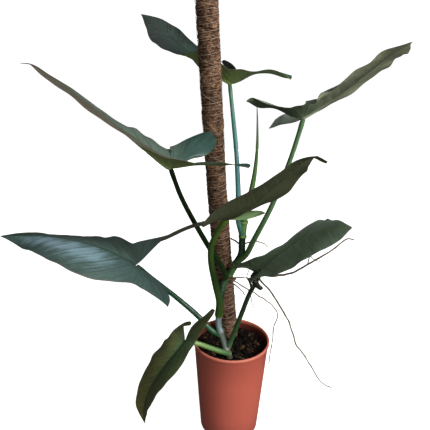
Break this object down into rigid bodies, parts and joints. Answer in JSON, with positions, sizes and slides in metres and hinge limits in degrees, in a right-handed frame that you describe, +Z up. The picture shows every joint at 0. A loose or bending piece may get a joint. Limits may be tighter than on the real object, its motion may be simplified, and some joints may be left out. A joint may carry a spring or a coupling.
{
  "type": "potted silver leaf philodendron",
  "caption": "Climbing plant with long silvery arrow-shaped leaves on a coir pole, in a tall tapered nursery pot filled with bark mix.",
  "frame": {"origin": "centre of the pot's flat underside, where it meets the surface it stands on", "axes": "+Z up along the pot's axis, -Y to the front of the plant, +X to the viewer's right"},
  "size_m": [0.5702, 0.4004, 0.7962],
  "materials": {
    "pot": "satin terracotta-coloured plastic",
    "soil": "moist fine bark mix",
    "stake": "plain softwood",
    "coir": "matted coconut fibre wound with thread",
    "stem": "waxy green and silvery bark",
    "petiole": "waxy, satin",
    "leaf": "silvery satin above, olive below",
    "spike": "waxy light green",
    "root": "dry, matte"
  },
  "bodies": {
    "root": {"pot": "pot", "soil": "soil", "pole_stake": "stake", "pole_coir": "coir", "main_stem": "stem", "new_leaf_spike": "spike", "leaf_blade_A": "leaf", "leaf_blade_B": "leaf", "leaf_blade_C": "leaf", "leaf_blade_D": "leaf", "leaf_blade_E": "leaf", "leaf_blade_F": "leaf", "leaf_blade_G": "leaf", "petiole_A": "petiole", "petiole_B": "petiole", "petiole_C": "petiole", "petiole_D": "petiole", "petiole_E": "petiole", "petiole_F": "petiole", "petiole_G": "petiole", "aerial_root_long": "root", "aerial_root_hanging": "root", "aerial_root_thin": "root", "aerial_root_short_1": "root", "aerial_root_short_2": "root", "aerial_root_short_3": "root", "aerial_root_to_pole": "root"}
  },
  "joints": []
}
